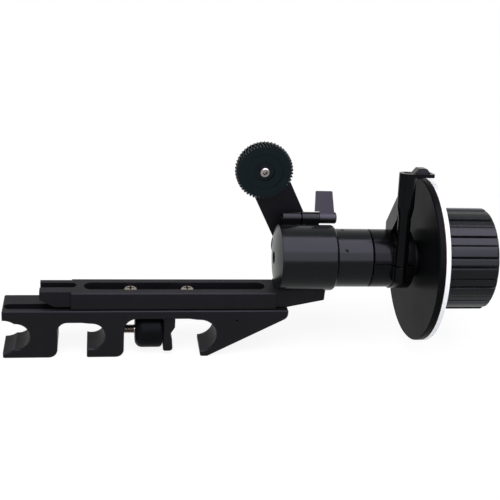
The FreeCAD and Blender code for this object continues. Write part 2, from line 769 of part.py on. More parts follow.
def neck_tube():
    profile = [
        (barrel_right + seat_clear, spigot_d / 2 + seat_clear), (barrel_right + seat_clear, tube_d / 2),
        (tube_right, tube_d / 2), (tube_right, journal_d / 2), (journal_right, journal_d / 2),
        (journal_right, bearing_d / 2 + seat_clear), (bearing_right_x, bearing_d / 2 + seat_clear),
        (bearing_right_x, tube_bore_d / 2), (spigot_end + spigot_gap, tube_bore_d / 2),
        (spigot_end + spigot_gap, spigot_d / 2 + seat_clear)]
    body = turned_about_x(profile)
    body = body.makeChamfer(tube_edge, edges_on(body, lambda p: near(p.x, tube_right) and
                                                near(math.hypot(p.y, p.z - axis_z), tube_d / 2)))
    groove_x = bearing_right_end + seat_clear
    tools = [rod(AXIS_X, focus_axis, ring_groove_d / 2, groove_x, groove_x + retainer_t + retainer_clear)]
    for angle in set_screw_angles:
        tools.append(radial_rod(set_screw_x, angle, set_screw_d / 2 + seat_clear,
                                spigot_d / 2 - 1, tube_d / 2 + 1))
    return cut_all(body, tools)


def radial_rod(x, angle, radius, inner, outer):
    """Rod standing radially off the focus axis, its angle counted from +Y towards +Z."""
    a = math.radians(angle)
    way = V(0, math.cos(a), math.sin(a))
    return Part.makeCylinder(radius, outer - inner, V(x, 0, axis_z) + way * inner, way)


def neck_set_screws():
    screws = []
    inner, outer = spigot_d / 2 + seat_clear, tube_d / 2 - set_screw_sink
    for angle in set_screw_angles:
        body = radial_rod(set_screw_x, angle, set_screw_d / 2, inner, outer)
        socket = radial_rod(set_screw_x, angle, set_socket_d / 2, outer - set_socket_depth, tube_d / 2)
        screws.append(body.cut(socket))
    return Part.makeCompound(screws)


def retaining_ring():
    start = bearing_right_end + seat_clear
    ring = tube(AXIS_X, focus_axis, ring_groove_d / 2 - seat_clear, bearing_d / 2 - retainer_reach,
                start, start + retainer_t)
    half = retainer_mouth / 2
    return ring.cut(box(start - 1, start + retainer_t + 1, -half, half, axis_z, axis_z + ring_groove_d))


def lock_lever():
    hub = rod(AXIS_X, (0, ear_y, ear_z), ear_d / 2, ear_right + lever_gap, lever_right)
    hub = hub.makeFillet(lever_round, edges_on(hub, lambda p: near(p.x, lever_right)))
    root_z, top = ear_z + ear_d / 2 + lever_flag_gap, ear_z + lever_length
    left, right = ear_right + lever_flag_gap, lever_right - lever_flag_inset
    outline = [
        (left, ear_z, 0), (left, root_z, 0), (lever_flag_left, root_z, 0),
        (lever_flag_left - lever_lean, top, 0.5),
        (right - lever_lean - lever_taper, top, 0.6), (right, root_z, 0), (right, ear_z, 0)]
    # the flag leans back about the hub's axis
    front = ear_y - lever_forward
    flag = plate_xz(outline, front, front + lever_thick)
    flag.rotate(V(0, ear_y, ear_z), AXIS_X, -lever_lean_back)
    bore = rod(AXIS_X, (0, ear_y, ear_z), lever_bolt_d / 2 + seat_clear,
               ear_right - 1, lever_right - lever_end_wall)
    return fuse_all([hub, flag]).cut(bore)


def lock_bolt():
    return rod(AXIS_X, (0, ear_y, ear_z), lever_bolt_d / 2,
               ear_left + bolt_inset, lever_right - lever_end_wall - bolt_end_gap)


def lock_nut():
    return tube(AXIS_X, (0, ear_y, ear_z), lock_nut_d / 2, lever_bolt_d / 2 + run_clear,
                ear_left + lock_nut_inset, ear_left + lock_nut_len - seat_clear)


# ---------------------------------------------------------------- gears

def involute_tooth(module, teeth, backlash):
    """Corners of one tooth about the origin, from root to root, as (radius, angle)."""
    pitch_r = module * teeth / 2
    root_r, tip_r = pitch_r - 1.2 * module, pitch_r + module
    pressure = math.radians(20)
    base_r = pitch_r * math.cos(pressure)
    spread = (math.pi * module / 2 - backlash) / (2 * pitch_r)
    at_pitch = math.tan(pressure) - pressure
    flank = []
    for k in range(4):
        r = max(root_r, base_r) + (tip_r - max(root_r, base_r)) * k / 3
        turn = math.acos(min(1.0, base_r / r))
        flank.append((r, spread + at_pitch - (math.tan(turn) - turn)))
    return root_r, flank


def spur_gear_face(module, teeth, backlash):
    root_r, flank = involute_tooth(module, teeth, backlash)
    pitch_angle = 2 * math.pi / teeth
    points = []
    for k in range(teeth):
        mid = k * pitch_angle
        root = flank[0][1] + 0.06 * module / root_r     # a little wider at the root
        points.append((root_r, mid - root))
        points += [(r, mid - a) for r, a in flank]
        points += [(r, mid + a) for r, a in reversed(flank)]
        points.append((root_r, mid + root))
    corners = [V(r * math.cos(a), 0, r * math.sin(a)) for r, a in points]
    return Part.Face(Part.makePolygon(corners + [corners[0]]))


def drive_gear():
    face = spur_gear_face(gear_module, gear_teeth, gear_backlash)
    face.translate(V(0, gear_front, 0))
    body = face.extrude(V(0, gear_rear - gear_flange - gear_front, 0))
    flange = rod(AXIS_Y, (0, 0, 0), gear_flange_d / 2, gear_rear - gear_flange, gear_rear)
    boss = rod(AXIS_Y, (0, 0, 0), gear_boss_d / 2, gear_rear - lap, arm_front - face_gap)
    body = fuse_all([body, flange, boss])
    head_room = rod(AXIS_Y, (0, 0, 0), gear_recess_d / 2, gear_front - 1, gear_seat)
    dish = rod(AXIS_Y, (0, 0, 0), gear_dish_d / 2, gear_front - 1, gear_front + gear_dish_depth)
    bore = rod(AXIS_Y, (0, 0, 0), shaft_d / 2 + seat_clear, gear_shaft_front, arm_front + 1)
    screw_hole = rod(AXIS_Y, (0, 0, 0), gear_screw_d / 2 + seat_clear, gear_front - 1, gear_rear)
    body = cut_all(body, [head_room, dish, bore, screw_hole])
    body.translate(V(0, 0, arm_length))
    return on_arm(body)


def gear_screw():
    centre, top = (0, 0, arm_length), gear_seat - gear_screw_head_h
    head = rod(AXIS_Y, centre, gear_screw_head_d / 2, top, gear_seat)
    head = head.makeFillet(gear_screw_round, edges_on(head, lambda p: near(p.y, top)))
    shank = rod(AXIS_Y, centre, gear_screw_d / 2, gear_seat - lap, gear_seat + gear_screw_len)
    socket = hex_prism(AXIS_Y, centre, gear_socket, top - 1, gear_seat - gear_socket_floor)
    return on_arm(fuse_all([head, shank]).cut(socket))


def gear_shaft():
    centre, start = (0, 0, arm_length), gear_shaft_front + seat_clear
    body = rod(AXIS_Y, centre, shaft_d / 2, start, shaft_rear)
    hole = rod(AXIS_Y, centre, gear_screw_d / 2 + seat_clear,
               start - 1, gear_seat + gear_screw_len + hole_spare)
    return on_arm(body.cut(hole))


def belt_pulley(height):
    y0, y1 = belt_front - flange_gap, belt_front + belt_width + flange_gap
    r = pulley_d / 2
    body = rod(AXIS_Y, (0, 0, 0), r, y0, y1)
    notches = []
    for k in range(pulley_teeth):
        a = 2 * math.pi * k / pulley_teeth
        notches.append(rod(AXIS_Y, (r * math.cos(a), 0, r * math.sin(a)), pulley_notch_r, y0, y1))
    body = cut_all(body, notches)
    flanges = [rod(AXIS_Y, (0, 0, 0), flange_d / 2, y0 - flange_t, y0),
               rod(AXIS_Y, (0, 0, 0), flange_d / 2, y1, y1 + flange_t)]
    body = fuse_all([body] + flanges)
    body = body.cut(rod(AXIS_Y, (0, 0, 0), shaft_d / 2 + seat_clear, y0 - 2, y1 + 2))
    body.translate(V(0, 0, height))
    return on_arm(body)


def belt_loop(radius, y0, y1):
    middle = box(-radius, radius, y0, y1, 0, arm_length)
    ends = [rod(AXIS_Y, (0, 0, z), radius, y0, y1) for z in (0, arm_length)]
    return fuse_all([middle] + ends)


def drive_belt():
    y0, y1 = belt_front, belt_front + belt_width
    inner = belt_inner_d / 2
    loop = belt_loop(inner + belt_thick, y0, y1).cut(belt_loop(inner, y0 - 1, y1 + 1))
    return on_arm(loop)


def bevel_gear(hub_end, bore_d, phase):
    """Straight bevel gear about +X with its apex at the origin and a 45 degree pitch cone."""
    pitch_r = bevel_module * bevel_teeth / 2
    cone = pitch_r * math.sqrt(2)
    rise, fall = 0.8 * bevel_module, 1.0 * bevel_module
    half = (math.pi * bevel_module / 2 - bevel_backlash) / 2
    lean = math.tan(math.radians(20))
    leg = 1 / math.sqrt(2)

    def ring_point(scale, depth, side):
        # a point on the back cone: out along the pitch cone, then across it by depth
        x = (pitch_r - depth * leg) * scale
        r = (pitch_r + depth * leg) * scale
        return V(x, r, side * scale)

    def tooth():
        wires = []
        for scale in (1.0, 1.0 - bevel_face / cone):
            root, tip = -fall - bevel_root_lap, rise
            wide, narrow = half + fall * lean, half - rise * lean
            corners = [ring_point(scale, root, -wide), ring_point(scale, tip, -narrow),
                       ring_point(scale, tip, narrow), ring_point(scale, root, wide)]
            wires.append(Part.makePolygon(corners + [corners[0]]))
        return Part.makeLoft(wires, True, True)

    inner = 1.0 - bevel_face / cone
    root_out = ring_point(1.0, -fall, 0)
    root_in = ring_point(inner, -fall, 0)
    back_x, back_r = root_out.x + bevel_back, root_out.y - bevel_back
    profile = [(root_in.x, 0), (root_in.x, root_in.y), (root_out.x, root_out.y), (back_x, back_r),
               (back_x, bevel_hub_d / 2), (hub_end, bevel_hub_d / 2), (hub_end, 0)]
    points = [V(x, y, 0) for x, y in profile]
    blank = Part.Face(Part.makePolygon(points + [points[0]])).revolve(V(0, 0, 0), AXIS_X, 360)
    single = tooth()
    teeth = []
    for k in range(bevel_teeth):
        copy = single.copy()
        copy.rotate(V(0, 0, 0), AXIS_X, (k + phase) * 360.0 / bevel_teeth)
        teeth.append(copy)
    body = blank.multiFuse(teeth).removeSplitter()
    return body.cut(rod(AXIS_X, (0, 0, 0), bore_d / 2, -1, hub_end + 1))


def input_bevel():
    """Gear on the focus shaft, to the right of the crossing point."""
    gear = bevel_gear(input_hub_end - pivot_x, input_shaft_d + 2 * seat_clear, 0.0)
    gear.translate(V(pivot_x, 0, axis_z))
    return gear


def output_bevel():
    """Gear on the output shaft, behind the crossing point."""
    gear = bevel_gear(arm_journal_front - face_gap, shaft_d + 2 * seat_clear, 0.5)
    gear.rotate(V(0, 0, 0), AXIS_Z, 90)
    gear.translate(V(pivot_x, 0, axis_z))
    return gear


def output_shaft():
    pitch_r = bevel_module * bevel_teeth / 2
    inner_y = pitch_r - bevel_face / math.sqrt(2)
    return rod(AXIS_Y, (pivot_x, 0, axis_z), shaft_d / 2, inner_y, shaft_rear)


# ---------------------------------------------------------------- swing arm

def arm_outline(inset, y0, y1):
    return belt_loop(arm_width / 2 - inset, y0, y1)


def arm_housing():
    body = arm_outline(0, arm_front, arm_split)
    body = body.makeChamfer(arm_edge, edges_on(body, lambda p: near(p.y, arm_front)))
    body = body.cut(arm_outline(arm_side_wall, arm_front + arm_wall, arm_split + 1))
    journal = rod(AXIS_Y, (0, 0, 0), ring_bore_d / 2 - run_clear, arm_journal_front, arm_front + lap)
    body = fuse_all([body, journal, arm_posts()])
    bearing_r = bearing_small_d / 2 + seat_clear
    bearing_end = arm_journal_front + journal_lip + bearing_small_w
    return on_arm(cut_all(body, [
        rod(AXIS_Y, (0, 0, 0), shaft_d / 2 + journal_room, arm_journal_front - 1, arm_split),
        rod(AXIS_Y, (0, 0, 0), bearing_r, arm_journal_front - 1, bearing_end),
        rod(AXIS_Y, (0, 0, arm_length), bush_d / 2 + seat_clear, arm_front - 1, arm_split)]))


def cover_screw_centres():
    """Places along the arm, between the belt's two runs."""
    return [(0, arm_length * share) for share in cover_screw_places]


def arm_posts():
    """Posts between the belt's two runs that take the cover screws."""
    posts = []
    for x, z in cover_screw_centres():
        hole = rod(AXIS_Y, (x, 0, z), cover_screw_d / 2 + seat_clear, arm_front + arm_wall, arm_split + 1)
        foot = arm_front + arm_wall - cover_post_lap
        posts.append(rod(AXIS_Y, (x, 0, z), cover_post_d / 2, foot, arm_split).cut(hole))
    return Part.makeCompound(posts)


def arm_cover():
    body = arm_outline(0, arm_split + seat_clear, arm_rear)
    body = body.makeChamfer(arm_edge, edges_on(body, lambda p: near(p.y, arm_rear)))
    seat = arm_rear - cover_head_sink
    tools = [rod(AXIS_Y, (0, 0, z), bush_d / 2 + seat_clear, arm_split - 1, arm_rear - cover_skin)
             for z in (0, arm_length)]
    for x, z in cover_screw_centres():
        tools.append(rod(AXIS_Y, (x, 0, z), cover_screw_d / 2 + run_clear, arm_split - 1, arm_rear + 1))
        tools.append(rod(AXIS_Y, (x, 0, z), cover_head_d / 2 + run_clear, seat, arm_rear + 1))
    return on_arm(cut_all(body, tools))


def cover_screws():
    screws = []
    seat, top = arm_rear - cover_head_sink, arm_rear - cover_head_top
    for x, z in cover_screw_centres():
        head = rod(AXIS_Y, (x, 0, z), cover_head_d / 2, seat, top)
        shank = rod(AXIS_Y, (x, 0, z), cover_screw_d / 2, arm_front + arm_wall + cover_screw_end, seat + lap)
        socket = hex_prism(AXIS_Y, (x, 0, z), cover_socket, top - cover_socket_depth, top + 1)
        screws.append(on_arm(fuse_all([head, shank]).cut(socket)))
    return Part.makeCompound(screws)


def output_bearing():
    start = arm_journal_front + journal_lip + seat_clear
    end = arm_journal_front + journal_lip + bearing_small_w - seat_clear
    return on_arm(ball_bearing(AXIS_Y, (0, 0, 0), bearing_small_d / 2, shaft_d / 2 + run_clear, start, end))


def bush(height, y0, y1):
    return on_arm(tube(AXIS_Y, (0, 0, height), bush_d / 2, shaft_d / 2 + run_clear, y0, y1))


# ---------------------------------------------------------------- pointer carrier

def pointer_carrier():
    z0 = axis_z
    collar = rod(AXIS_X, focus_axis, collar_d / 2, collar_left, collar_right)
    collar = collar.makeChamfer(collar_edge, edges_on(collar, lambda p: near(p.x, collar_left)))
    band = rod(AXIS_X, focus_axis, band_d / 2, band_left, collar_right)
    band = band.makeChamfer(collar_edge, edges_on(band, lambda p: near(p.x, collar_right)))
    lug = box(post_x - lug_width / 2, post_x + lug_width / 2, post_y, lug_rear, z0 + lug_low, z0 + lug_high)
    waist = rod(AXIS_Z, (post_x, post_y, 0), post_waist_d / 2, z0 + post_low, z0 + post_waist_top)
    taper_foot = V(post_x, post_y, z0 + post_waist_top)
    taper = Part.makeCone(post_waist_d / 2, post_d / 2, post_taper, taper_foot, AXIS_Z)
    head = rod(AXIS_Z, (post_x, post_y, 0), post_d / 2, z0 + post_waist_top + post_taper, z0 + post_top)
    side, top, seat = brim_depth / 2, z0 + post_top, z0 + carrier_head_seat
    brim = box(post_x, brim_right, post_y - side, post_y + side, top - brim_thick, top)
    brim = brim.makeFillet(brim_round, edges_on(
        brim, lambda p: near(p.x, brim_right) and near(abs(p.y - post_y), side)))
    body = fuse_all([collar, band, lug, waist, taper, head, brim, carrier_strut()])
    tools = [
        rod(AXIS_X, focus_axis, journal_d / 2 + run_clear, collar_left - 1, collar_right + 1),
        box(collar_left - 1, collar_right + 1, post_y - post_d, saw_cut_past - journal_d / 2,
            z0 - saw_cut / 2, z0 + saw_cut / 2),
        rod(AXIS_Z, (post_x, post_y, 0), carrier_screw_d / 2 + seat_clear,
            z0 + post_low + carrier_screw_skin, seat + 1),
        rod(AXIS_Z, (post_x, post_y, 0), carrier_head_d / 2 + head_clear, seat, top + 1),
        rod(AXIS_Z, (block_mid, block_y, 0), block_screw_d / 2 + run_clear, top - brim_thick - 1, top + 1)]
    return on_carrier(cut_all(body, tools))


def carrier_strut():
    """Sloping strut from the post down to the top of the collar, open below."""
    z0 = axis_z
    back = post_y + post_d / 2 - strut_post_lap
    top_z = strut_foot_z + (strut_foot_y - back)
    low = strut_width * math.sqrt(2)
    base = z0 + collar_d / 2 - strut_collar_lap
    front = strut_foot_y - strut_foot_depth
    outline = [
        (back, z0 + top_z, 0), (strut_foot_y, z0 + strut_foot_z, 0.6),
        (strut_foot_y - strut_foot_slope, base, 0),
        (front, base, 0), (front, z0 + strut_foot_z + strut_foot_depth - low, 0), (back, z0 + top_z - low, 0)]
    return plate_yz(outline, post_x - strut_thick / 2, post_x + strut_thick / 2)


def carrier_screw():
    centre, seat = (post_x, post_y, 0), axis_z + carrier_head_seat
    end = axis_z + post_low + carrier_screw_skin + hole_spare
    head = rod(AXIS_Z, centre, carrier_head_d / 2, seat, seat + carrier_head_h)
    shank = rod(AXIS_Z, centre, carrier_screw_d / 2, end, seat + lap)
    socket = hex_prism(AXIS_Z, centre, carrier_socket, seat + carrier_socket_floor, seat + carrier_head_h + 1)
    return on_carrier(fuse_all([head, shank]).cut(socket))


def pointer_block():
    """Raised index block on the brim, its top a little narrower than its foot."""
    z0 = axis_z + post_top
    outline = [
        (block_left, z0, 0), (block_left + block_slope, z0 + block_high, 0.5),
        (block_right - block_slope, z0 + block_high, 1.4), (block_right, z0, 0)]
    side = brim_depth / 2
    body = plate_xz(outline, post_y - side + block_setback, post_y + side - block_inset)
    hole = rod(AXIS_Z, (block_mid, block_y, 0), block_screw_d / 2 + seat_clear,
               z0 - 1, z0 + block_high - block_screw_skin)
    return on_carrier(body.cut(hole))


def block_screw():
    centre, low = (block_mid, block_y, 0), axis_z + post_top - brim_thick
    end = axis_z + post_top + block_high - block_screw_skin - hole_spare
    head = rod(AXIS_Z, centre, block_head_d / 2, low - block_head_h, low)
    shank = rod(AXIS_Z, centre, block_screw_d / 2, low - lap, end)
    return on_carrier(fuse_all([head, shank]))


# ---------------------------------------------------------------- focus shaft, disc and knob

def input_shaft():
    return rod(AXIS_X, focus_axis, input_shaft_d / 2, input_shaft_left, hub_right)


def focus_disc():
    r = disc_d / 2
    x0, x1 = disc_left, disc_right
    profile = [
        (x0, hub_d / 2 + seat_clear), (x0, r - disc_edge), (x0 + disc_edge, r),
        (x1, r), (x1, hub_d / 2 + seat_clear)]
    tools = []
    for y, z in hub_screw_places():
        tools.append(rod(AXIS_X, (0, y, z), hub_screw_d / 2 + run_clear, x0 - 1, x1 + 1))
        tools.append(rod(AXIS_X, (0, y, z), hub_head_d / 2 + head_clear, x0 - 1, x0 + hub_head_sink))
    return cut_all(turned_about_x(profile), tools)


def hub_screw_places():
    return on_ring(hub_screw_ring, hub_screw_angles)


def on_ring(radius, angles):
    """Places (y, z) on a circle around the focus axis."""
    turns = [math.radians(a) for a in angles]
    return [(radius * math.cos(a), axis_z + radius * math.sin(a)) for a in turns]


def hub_screws():
    """Screws that hold disc, hub flange and knob together."""
    screws = []
    seat = disc_left + hub_head_sink
    for y, z in hub_screw_places():
        head = rod(AXIS_X, (0, y, z), hub_head_d / 2, seat - hub_head_h, seat)
        shank = rod(AXIS_X, (0, y, z), hub_screw_d / 2, seat - lap, knob_left + hub_screw_reach)
        socket = hex_prism(AXIS_X, (0, y, z), hub_socket, seat - hub_head_h - 1, seat - hub_socket_floor)
        screws.append(fuse_all([head, shank]).cut(socket))
    return Part.makeCompound(screws)


def shaft_spacer(x0, x1):
    inner = input_shaft_d / 2 + seat_clear
    return tube(AXIS_X, focus_axis, input_shaft_d / 2 + spacer_wall, inner, x0, x1)


def marking_ring():
    return tube(AXIS_X, focus_axis, disc_d / 2, marking_bore_d / 2 + seat_clear, disc_right, marking_right)


def knob_hub():
    """Steel hub that joins shaft, disc, marking ring and knob."""
    r = hub_d / 2
    profile = [
        (hub_left, input_shaft_d / 2 + seat_clear), (hub_left, r), (disc_right, r),
        (disc_right, marking_bore_d / 2), (marking_right, marking_bore_d / 2), (marking_right, r),
        (hub_right, r), (hub_right, input_shaft_d / 2 + seat_clear)]
    holes = [rod(AXIS_X, (0, y, z), hub_screw_d / 2 + run_clear, disc_right - 1, marking_right + 1)
             for y, z in hub_screw_places()]
    return cut_all(turned_about_x(profile), holes)


def focus_knob():
    r = knob_d / 2
    body = rod(AXIS_X, focus_axis, r, knob_left, knob_right)
    body = body.makeFillet(knob_round, edges_on(body, lambda p: near(p.x, knob_right)))
    tools = [
        rod(AXIS_X, focus_axis, hub_d / 2 + seat_clear, knob_left - 1, hub_right + seat_clear),
        rod(AXIS_X, focus_axis, cap_disc_d / 2 + seat_clear, knob_right - cap_disc_t, knob_right + 1),
        square_socket(knob_right - socket_depth, knob_right + 1)]
    for y, z in end_plate_screw_places():
        tools.append(rod(AXIS_X, (0, y, z), plate_screw_d / 2 + seat_clear,
                         knob_right - plate_screw_reach - hole_spare, knob_right))
    for y, z in hub_screw_places():
        tools.append(rod(AXIS_X, (0, y, z), hub_screw_d / 2 + seat_clear,
                         knob_left - 1, knob_left + hub_screw_reach + hole_spare))
    for k in range(knob_flutes):
        cutter = box(knob_left - 1, knob_right + 1, r - knob_flute_depth, r + 2,
                     axis_z - knob_flute_width / 2, axis_z + knob_flute_width / 2)
        cutter.rotate(V(0, 0, axis_z), AXIS_X, k * 360.0 / knob_flutes + knob_phase)
        tools.append(cutter)
    return cut_all(body, tools)


def square_socket(x0, x1):
    s = socket_side / 2
    return box(x0, x1, -s, s, axis_z - s, axis_z + s)


def knob_end_plate():
    front = knob_right - cap_disc_sink
    body = rod(AXIS_X, focus_axis, cap_disc_d / 2, knob_right - cap_disc_t + seat_clear, front)
    body = body.makeChamfer(cap_disc_edge, edges_on(body, lambda p: near(p.x, front)))
    tools = [square_socket(knob_right - socket_depth, knob_right + 1)]
    for y, z in end_plate_screw_places():
        tools.append(rod(AXIS_X, (0, y, z), plate_screw_d / 2 + run_clear,
                         knob_right - cap_disc_t, knob_right + 1))
        tools.append(rod(AXIS_X, (0, y, z), plate_head_d / 2 + run_clear,
                         knob_right - plate_head_sink, knob_right + 1))
    return cut_all(body, tools)


def end_plate_screw_places():
    return on_ring(cap_disc_d / 2 - plate_screw_inset, plate_screw_angles)


def end_plate_screws():
    screws = []
    seat, top = knob_right - plate_head_sink, knob_right - plate_head_top
    for y, z in end_plate_screw_places():
        head = rod(AXIS_X, (0, y, z), plate_head_d / 2, seat, top)
        shank = rod(AXIS_X, (0, y, z), plate_screw_d / 2, knob_right - plate_screw_reach, seat + lap)
        socket = hex_prism(AXIS_X, (0, y, z), plate_socket, top - plate_socket_depth, top + 1)
        screws.append(fuse_all([head, shank]).cut(socket))
    return Part.makeCompound(screws)


# ---------------------------------------------------------------- write every node

def all_nodes():
    return {
        "rod_bracket": rod_bracket(),
        "clamp_screw": clamp_screw(),
        "clamp_knob": clamp_knob(),
        "shoe_pins": shoe_pins(),
        "clamp_shoe": clamp_shoe(),
        "slide_bar": slide_bar(),
        "slide_screws": slide_screws(),
        "foot_screws": foot_screws(),
        "gearbox_housing": gearbox_housing(),
        "gearbox_end_cap": gearbox_end_cap(),
        "neck_tube": neck_tube(),
        "neck_set_screws": neck_set_screws(),
        "retaining_ring": retaining_ring(),
        "input_bearing_left": ball_bearing(AXIS_X, focus_axis, bearing_d / 2, bearing_bore_d / 2 + run_clear,
                                           bearing_left_x + seat_clear, bearing_left_x + bearing_w),
        "input_bearing_right": ball_bearing(AXIS_X, focus_axis, bearing_d / 2, bearing_bore_d / 2 + run_clear,
                                            bearing_right_x + seat_clear, bearing_right_end),
        "lock_lever": lock_lever(),
        "lock_bolt": lock_bolt(),
        "lock_nut": lock_nut(),
        "arm_housing": arm_housing(),
        "arm_cover": arm_cover(),
        "cover_screws": cover_screws(),
        "output_bearing": output_bearing(),
        "output_bush": bush(0, arm_split + lap, arm_rear - cover_skin - lap),
        "gear_bush_front": bush(arm_length, arm_front, arm_front + arm_wall),
        "gear_bush_rear": bush(arm_length, arm_split + lap, arm_rear - cover_skin - lap),
        "drive_belt": drive_belt(),
        "output_shaft": output_shaft(),
        "output_bevel": output_bevel(),
        "lower_pulley": belt_pulley(0),
        "upper_pulley": belt_pulley(arm_length),
        "gear_shaft": gear_shaft(),
        "drive_gear": drive_gear(),
        "gear_screw": gear_screw(),
        "pointer_carrier": pointer_carrier(),
        "carrier_screw": carrier_screw(),
        "pointer_block": pointer_block(),
        "block_screw": block_screw(),
        "input_shaft": input_shaft(),
        "input_bevel": input_bevel(),
        "focus_disc": focus_disc(),
        "marking_ring": marking_ring(),
        "knob_hub": knob_hub(),
        "focus_knob": focus_knob(),
        "hub_screws": hub_screws(),
        "bevel_spacer": shaft_spacer(input_hub_end + seat_clear, bearing_left_x - spacer_gap),
        "hub_spacer": shaft_spacer(bearing_right_end + spacer_gap, hub_left - seat_clear),
        "knob_end_plate": knob_end_plate(),
        "end_plate_screws": end_plate_screws(),
    }


os.makedirs("parts", exist_ok=True)
for name, shape in all_nodes().items():
    valid = shape.isValid() and all(s.isClosed() for s in shape.Solids)
    print(name, len(shape.Solids), "solids", round(shape.Volume, 1), "mm3", "ok" if valid else "NOT VALID")
    shape.exportStep("parts/" + name + ".step")
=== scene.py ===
import bpy, json, math
import numpy as np
from mathutils import Matrix


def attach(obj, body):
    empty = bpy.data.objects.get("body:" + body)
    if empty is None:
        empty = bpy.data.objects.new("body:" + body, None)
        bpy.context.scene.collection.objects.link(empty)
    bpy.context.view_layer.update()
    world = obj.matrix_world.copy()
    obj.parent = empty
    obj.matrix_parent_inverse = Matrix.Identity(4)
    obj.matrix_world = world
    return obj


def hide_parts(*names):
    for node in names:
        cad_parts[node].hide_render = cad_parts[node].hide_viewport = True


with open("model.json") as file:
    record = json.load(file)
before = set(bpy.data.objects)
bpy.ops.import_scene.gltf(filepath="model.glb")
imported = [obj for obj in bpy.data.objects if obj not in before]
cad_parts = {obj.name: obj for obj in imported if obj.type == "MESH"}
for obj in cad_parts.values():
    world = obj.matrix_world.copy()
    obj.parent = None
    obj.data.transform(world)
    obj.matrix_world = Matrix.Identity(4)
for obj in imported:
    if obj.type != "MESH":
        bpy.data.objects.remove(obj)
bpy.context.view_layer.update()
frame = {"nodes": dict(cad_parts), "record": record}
print("frame loaded:", len(frame["nodes"]), "nodes")

mm = 0.001
axisZ = 43.0  # height of the focus axis above the rod axis
noiseSpan = (0.3, 0.7)  # nearly all of a noise pattern's values lie between these
bevelSamples = 6  # for edges that are softened in the shading


def hexColour(code):
    # sRGB hex to linear RGBA
    srgb = np.array([int(code[i:i + 2], 16) / 255 for i in (1, 3, 5)])
    linear = np.where(srgb <= 0.04045, srgb / 12.92, ((srgb + 0.055) / 1.055) ** 2.4)
    return (*linear.tolist(), 1.0)


def addNode(tree, kind, inputs=None, **settings):
    # one node: settings are its own properties, inputs are numbers, colours or sockets to link
    node = tree.nodes.new(kind)
    for key, value in settings.items():
        setattr(node, key, value)
    for key, value in (inputs or {}).items():
        if isinstance(value, bpy.types.NodeSocket):
            tree.links.new(value, node.inputs[key])
        else:
            node.inputs[key].default_value = value
    return node


def startFinish(name):
    material = bpy.data.materials.new(name)
    material.use_nodes = True
    tree = material.node_tree
    tree.nodes.clear()
    place = addNode(tree, "ShaderNodeTexCoord").outputs["Object"]
    return material, tree, place


def endFinish(tree, surface):
    addNode(tree, "ShaderNodeOutputMaterial", {"Surface": surface})


# Hard anodised aluminium, bead blasted before the bath: a satin black with a faint violet
# cast, a fine even grain and edges where the softened corner catches a thin grey line.
blastedBlack = {
    "dark": "#0c0c0e", "light": "#131315", "worn": "#2e2e34", "tint": "#ecedfa",
    "specular": 0.1, "roughLow": 0.42, "roughHigh": 0.52,
    "grain": 0.22, "grainHeight": 0.005, "patch": 14.0, "edge": 0.22}

# The same anodising over a turned surface: smoother, with faint rings left by the tool.
turnedBlack = {
    "dark": "#090a0b", "light": "#0e0e10", "worn": "#34343a", "tint": "#eaf4f6",
    "specular": 0.12, "roughLow": 0.17, "roughHigh": 0.22,
    "ring": 0.5, "grainHeight": 0.003, "patch": 18.0, "edge": 0.18}

# The grip knob is turned the same way but comes out of the bath a shade lighter.
gripBlack = dict(turnedBlack, specular=0.14, roughLow=0.24, roughHigh=0.3)

# The large disc is dyed deepest, so its flat face stays nearly black at a low angle.
discBlack = dict(turnedBlack, specular=0.018, roughLow=0.3, roughHigh=0.38)

# The pointer post and its collar, smooth and dark with narrow lights.
postBlack = dict(turnedBlack, dark="#040405", light="#070708", specular=0.075)

# The clamp knob is dull from handling and throws almost no light back.
dullBlack = dict(
    turnedBlack, dark="#0a0b0c", light="#0f1012", specular=0.02, roughLow=0.3, roughHigh=0.4)

# The lock lever is polished by thumbs and catches more light than the parts around it.
leverBlack = dict(blastedBlack, specular=0.225, roughLow=0.26, roughHigh=0.33)

# The domed cap is the same black bath on a fly cut face, smoother and a little greyer.
capBlack = dict(
    turnedBlack, dark="#0d0d10", light="#131316", specular=0.13, roughLow=0.26, roughHigh=0.33)

# An edge is rubbed where the softened normal turns off the true one: the cosine of that turn at
# which the rub starts and is full, and how far the full rub goes to the look's worn colour.
rubbedEdge = {"starts": 0.98, "full": 0.86, "share": 0.35}

ringStretch = 0.03  # the rings of a turned face run long in Y and Z and short in X


